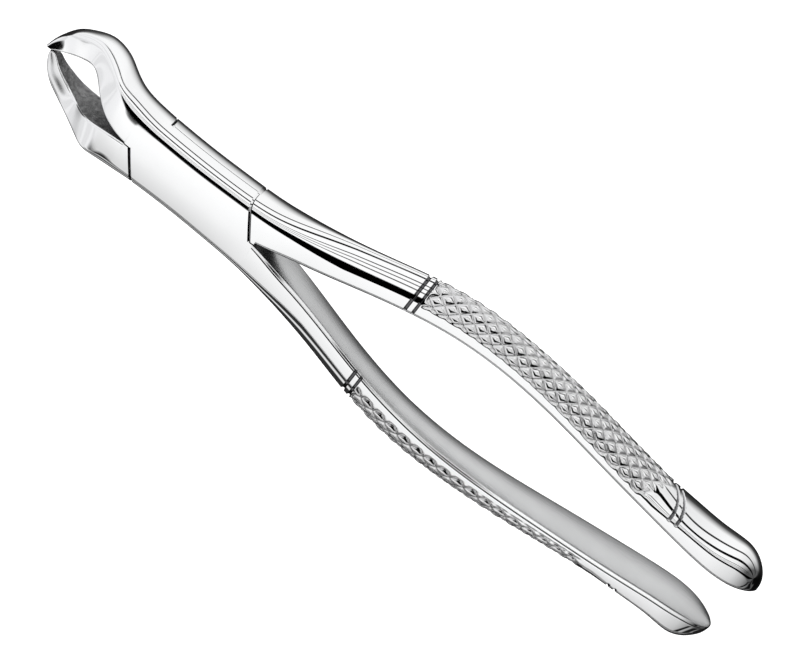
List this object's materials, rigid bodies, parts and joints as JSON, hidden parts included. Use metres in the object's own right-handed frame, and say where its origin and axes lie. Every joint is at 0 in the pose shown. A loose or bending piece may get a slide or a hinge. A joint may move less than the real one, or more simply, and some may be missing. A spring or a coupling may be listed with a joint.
{
  "type": "extraction forceps",
  "caption": "Hinged hand tool with curved beaks that close on a tooth and long knurled handles that meet in a lap joint.",
  "frame": {"origin": "bottom centre of the closed forceps' box", "axes": "+X from the beaks to the handle ends, Y the opening direction with the front half's beak at +Y, +Z along the pivot away from the screw head"},
  "size_m": [0.1765, 0.039, 0.0154],
  "materials": {
    "polished_steel": "mirror-polished stainless steel, satin on the handles' inner faces, knurled over the grips",
    "polished_steel_back": "mirror-polished stainless steel, satin on the handles' inner faces, knurled over the grips",
    "screw_steel": "turned stainless steel"
  },
  "bodies": {
    "front": {"front_half": "polished_steel", "pivot_screw": "screw_steel"},
    "back": {"back_half": "polished_steel_back"}
  },
  "joints": [
    {"name": "jaw", "type": "hinge", "parent": "front", "child": "back", "pos_m": [-0.0469, 0, 0.00981], "axis": [0, 0, 1], "range_deg": [0, 34]}
  ]
}
